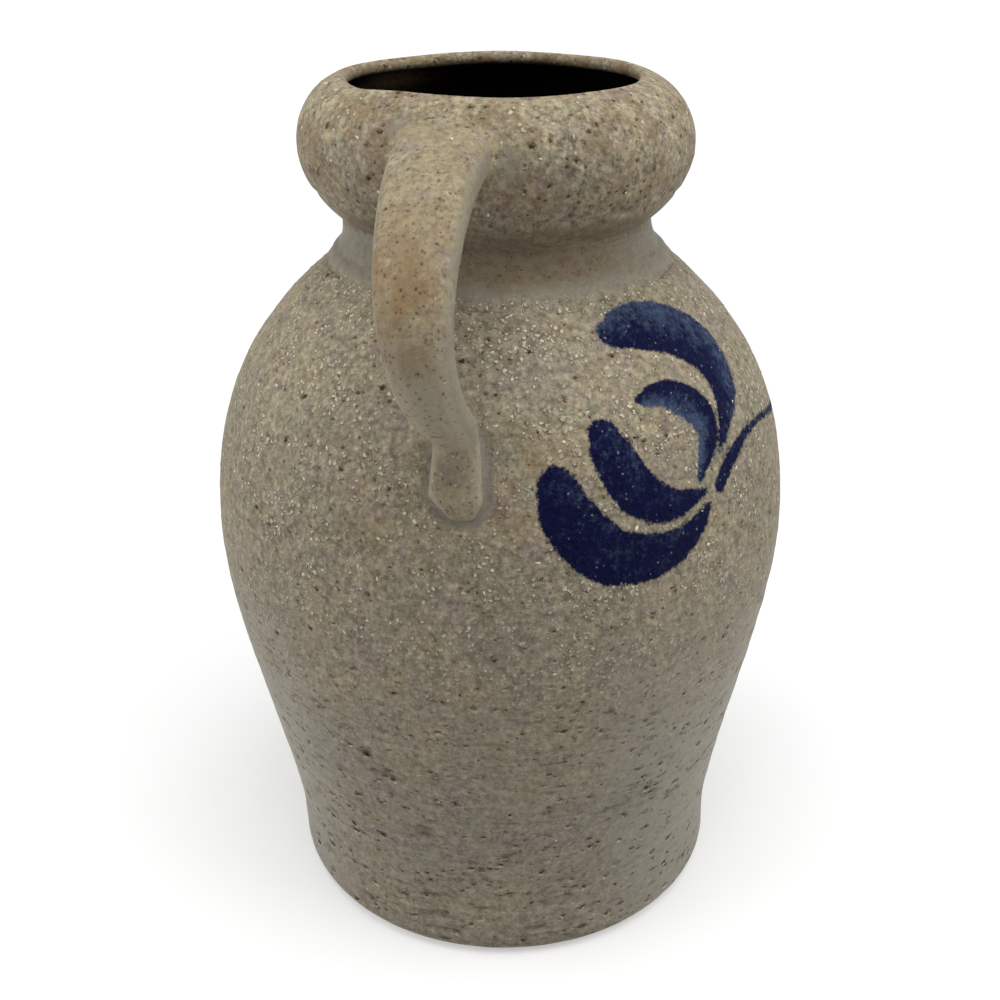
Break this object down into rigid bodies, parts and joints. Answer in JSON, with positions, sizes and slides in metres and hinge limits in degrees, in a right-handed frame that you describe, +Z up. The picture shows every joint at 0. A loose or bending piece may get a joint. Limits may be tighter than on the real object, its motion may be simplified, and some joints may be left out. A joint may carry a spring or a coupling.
{
  "type": "jug",
  "caption": "Wheel-thrown stoneware jug with a swelling body, a narrow neck, a rounded hollow collar and one pulled strap handle, for holding and pouring liquids.",
  "frame": {"origin": "middle of the flat foot, on the surface that the jug stands on", "axes": "+Z up along the axis that the jug was thrown on, +X towards the root of the handle"},
  "size_m": [0.2113, 0.1904, 0.2801],
  "materials": {
    "body_clay": "salt-glazed grey stoneware with coarse grit",
    "collar_clay": "salt-glazed warm grey stoneware with coarse grit",
    "handle_clay": "tan stoneware, thin dry glaze",
    "joint_slip": "smooth wiped slip"
  },
  "bodies": {
    "root": {"body": "body_clay", "neck_and_collar": "collar_clay", "strap_handle": "handle_clay", "collar_seam_slip": "joint_slip", "handle_root_slip": "joint_slip", "handle_tail_slip": "joint_slip"}
  },
  "joints": []
}
